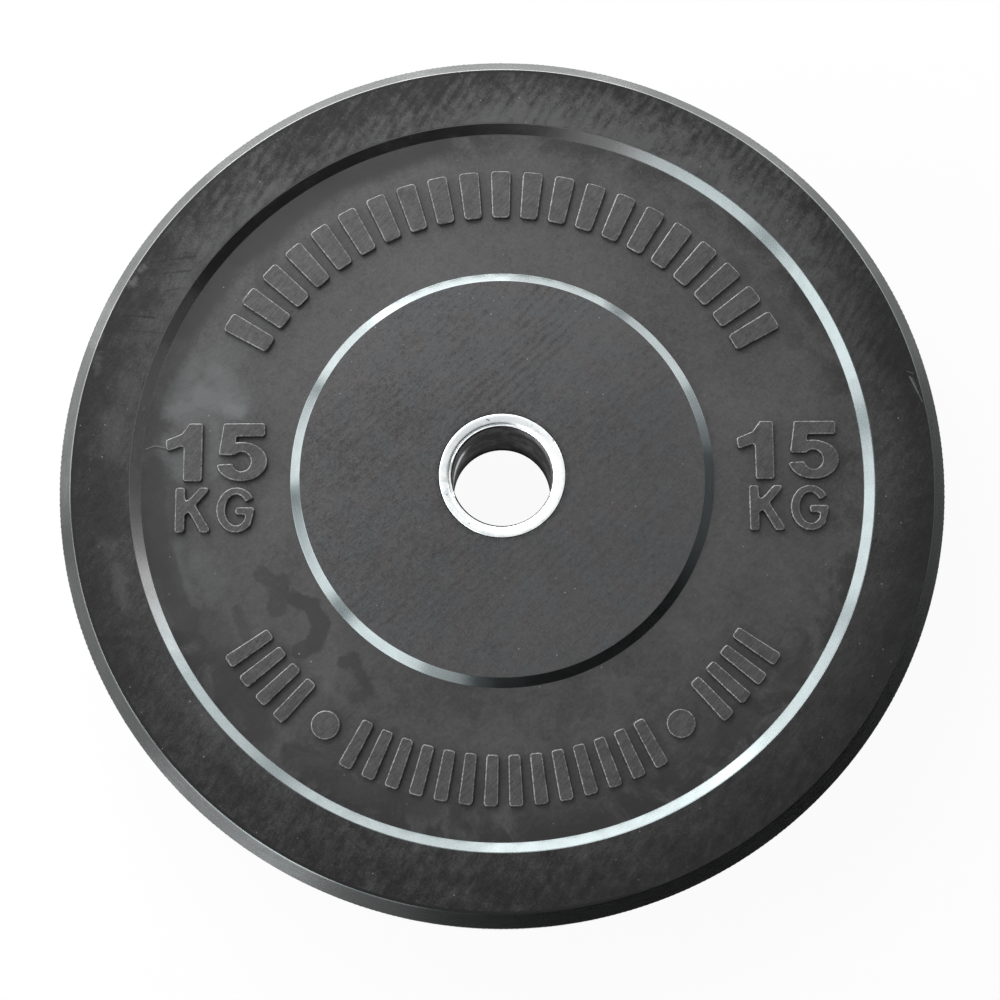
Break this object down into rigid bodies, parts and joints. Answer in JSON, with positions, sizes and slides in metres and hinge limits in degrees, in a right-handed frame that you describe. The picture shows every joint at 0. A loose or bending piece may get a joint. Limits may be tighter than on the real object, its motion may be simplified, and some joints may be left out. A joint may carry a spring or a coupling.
{
  "type": "bumper plate",
  "caption": "Round black rubber bumper plate with recessed webs, raised weight marks and plain ribs on both faces, and a plated steel sleeve through its hub for a barbell.",
  "frame": {"origin": "centre of the back rim band's plane, on the bore's axis, where the plate rests when it lies flat", "axes": "+Z along the bore towards the front face, +Y up as the front's raised marks read, +X to their right"},
  "size_m": [0.45, 0.45, 0.062],
  "materials": {
    "moulded_rubber": "matt moulded black rubber, glossier on the slopes, with faint cloth marks and dust",
    "plated_steel": "bright zinc-plated, turned",
    "bare_steel": "mill finish, buried in the rubber",
    "weld_metal": "rippled weld, buried in the rubber"
  },
  "bodies": {
    "root": {"rubber_body": "moulded_rubber", "hub_sleeve": "plated_steel", "anchor_ring": "bare_steel", "weld_bead_front": "weld_metal", "weld_bead_back": "weld_metal"}
  },
  "joints": []
}
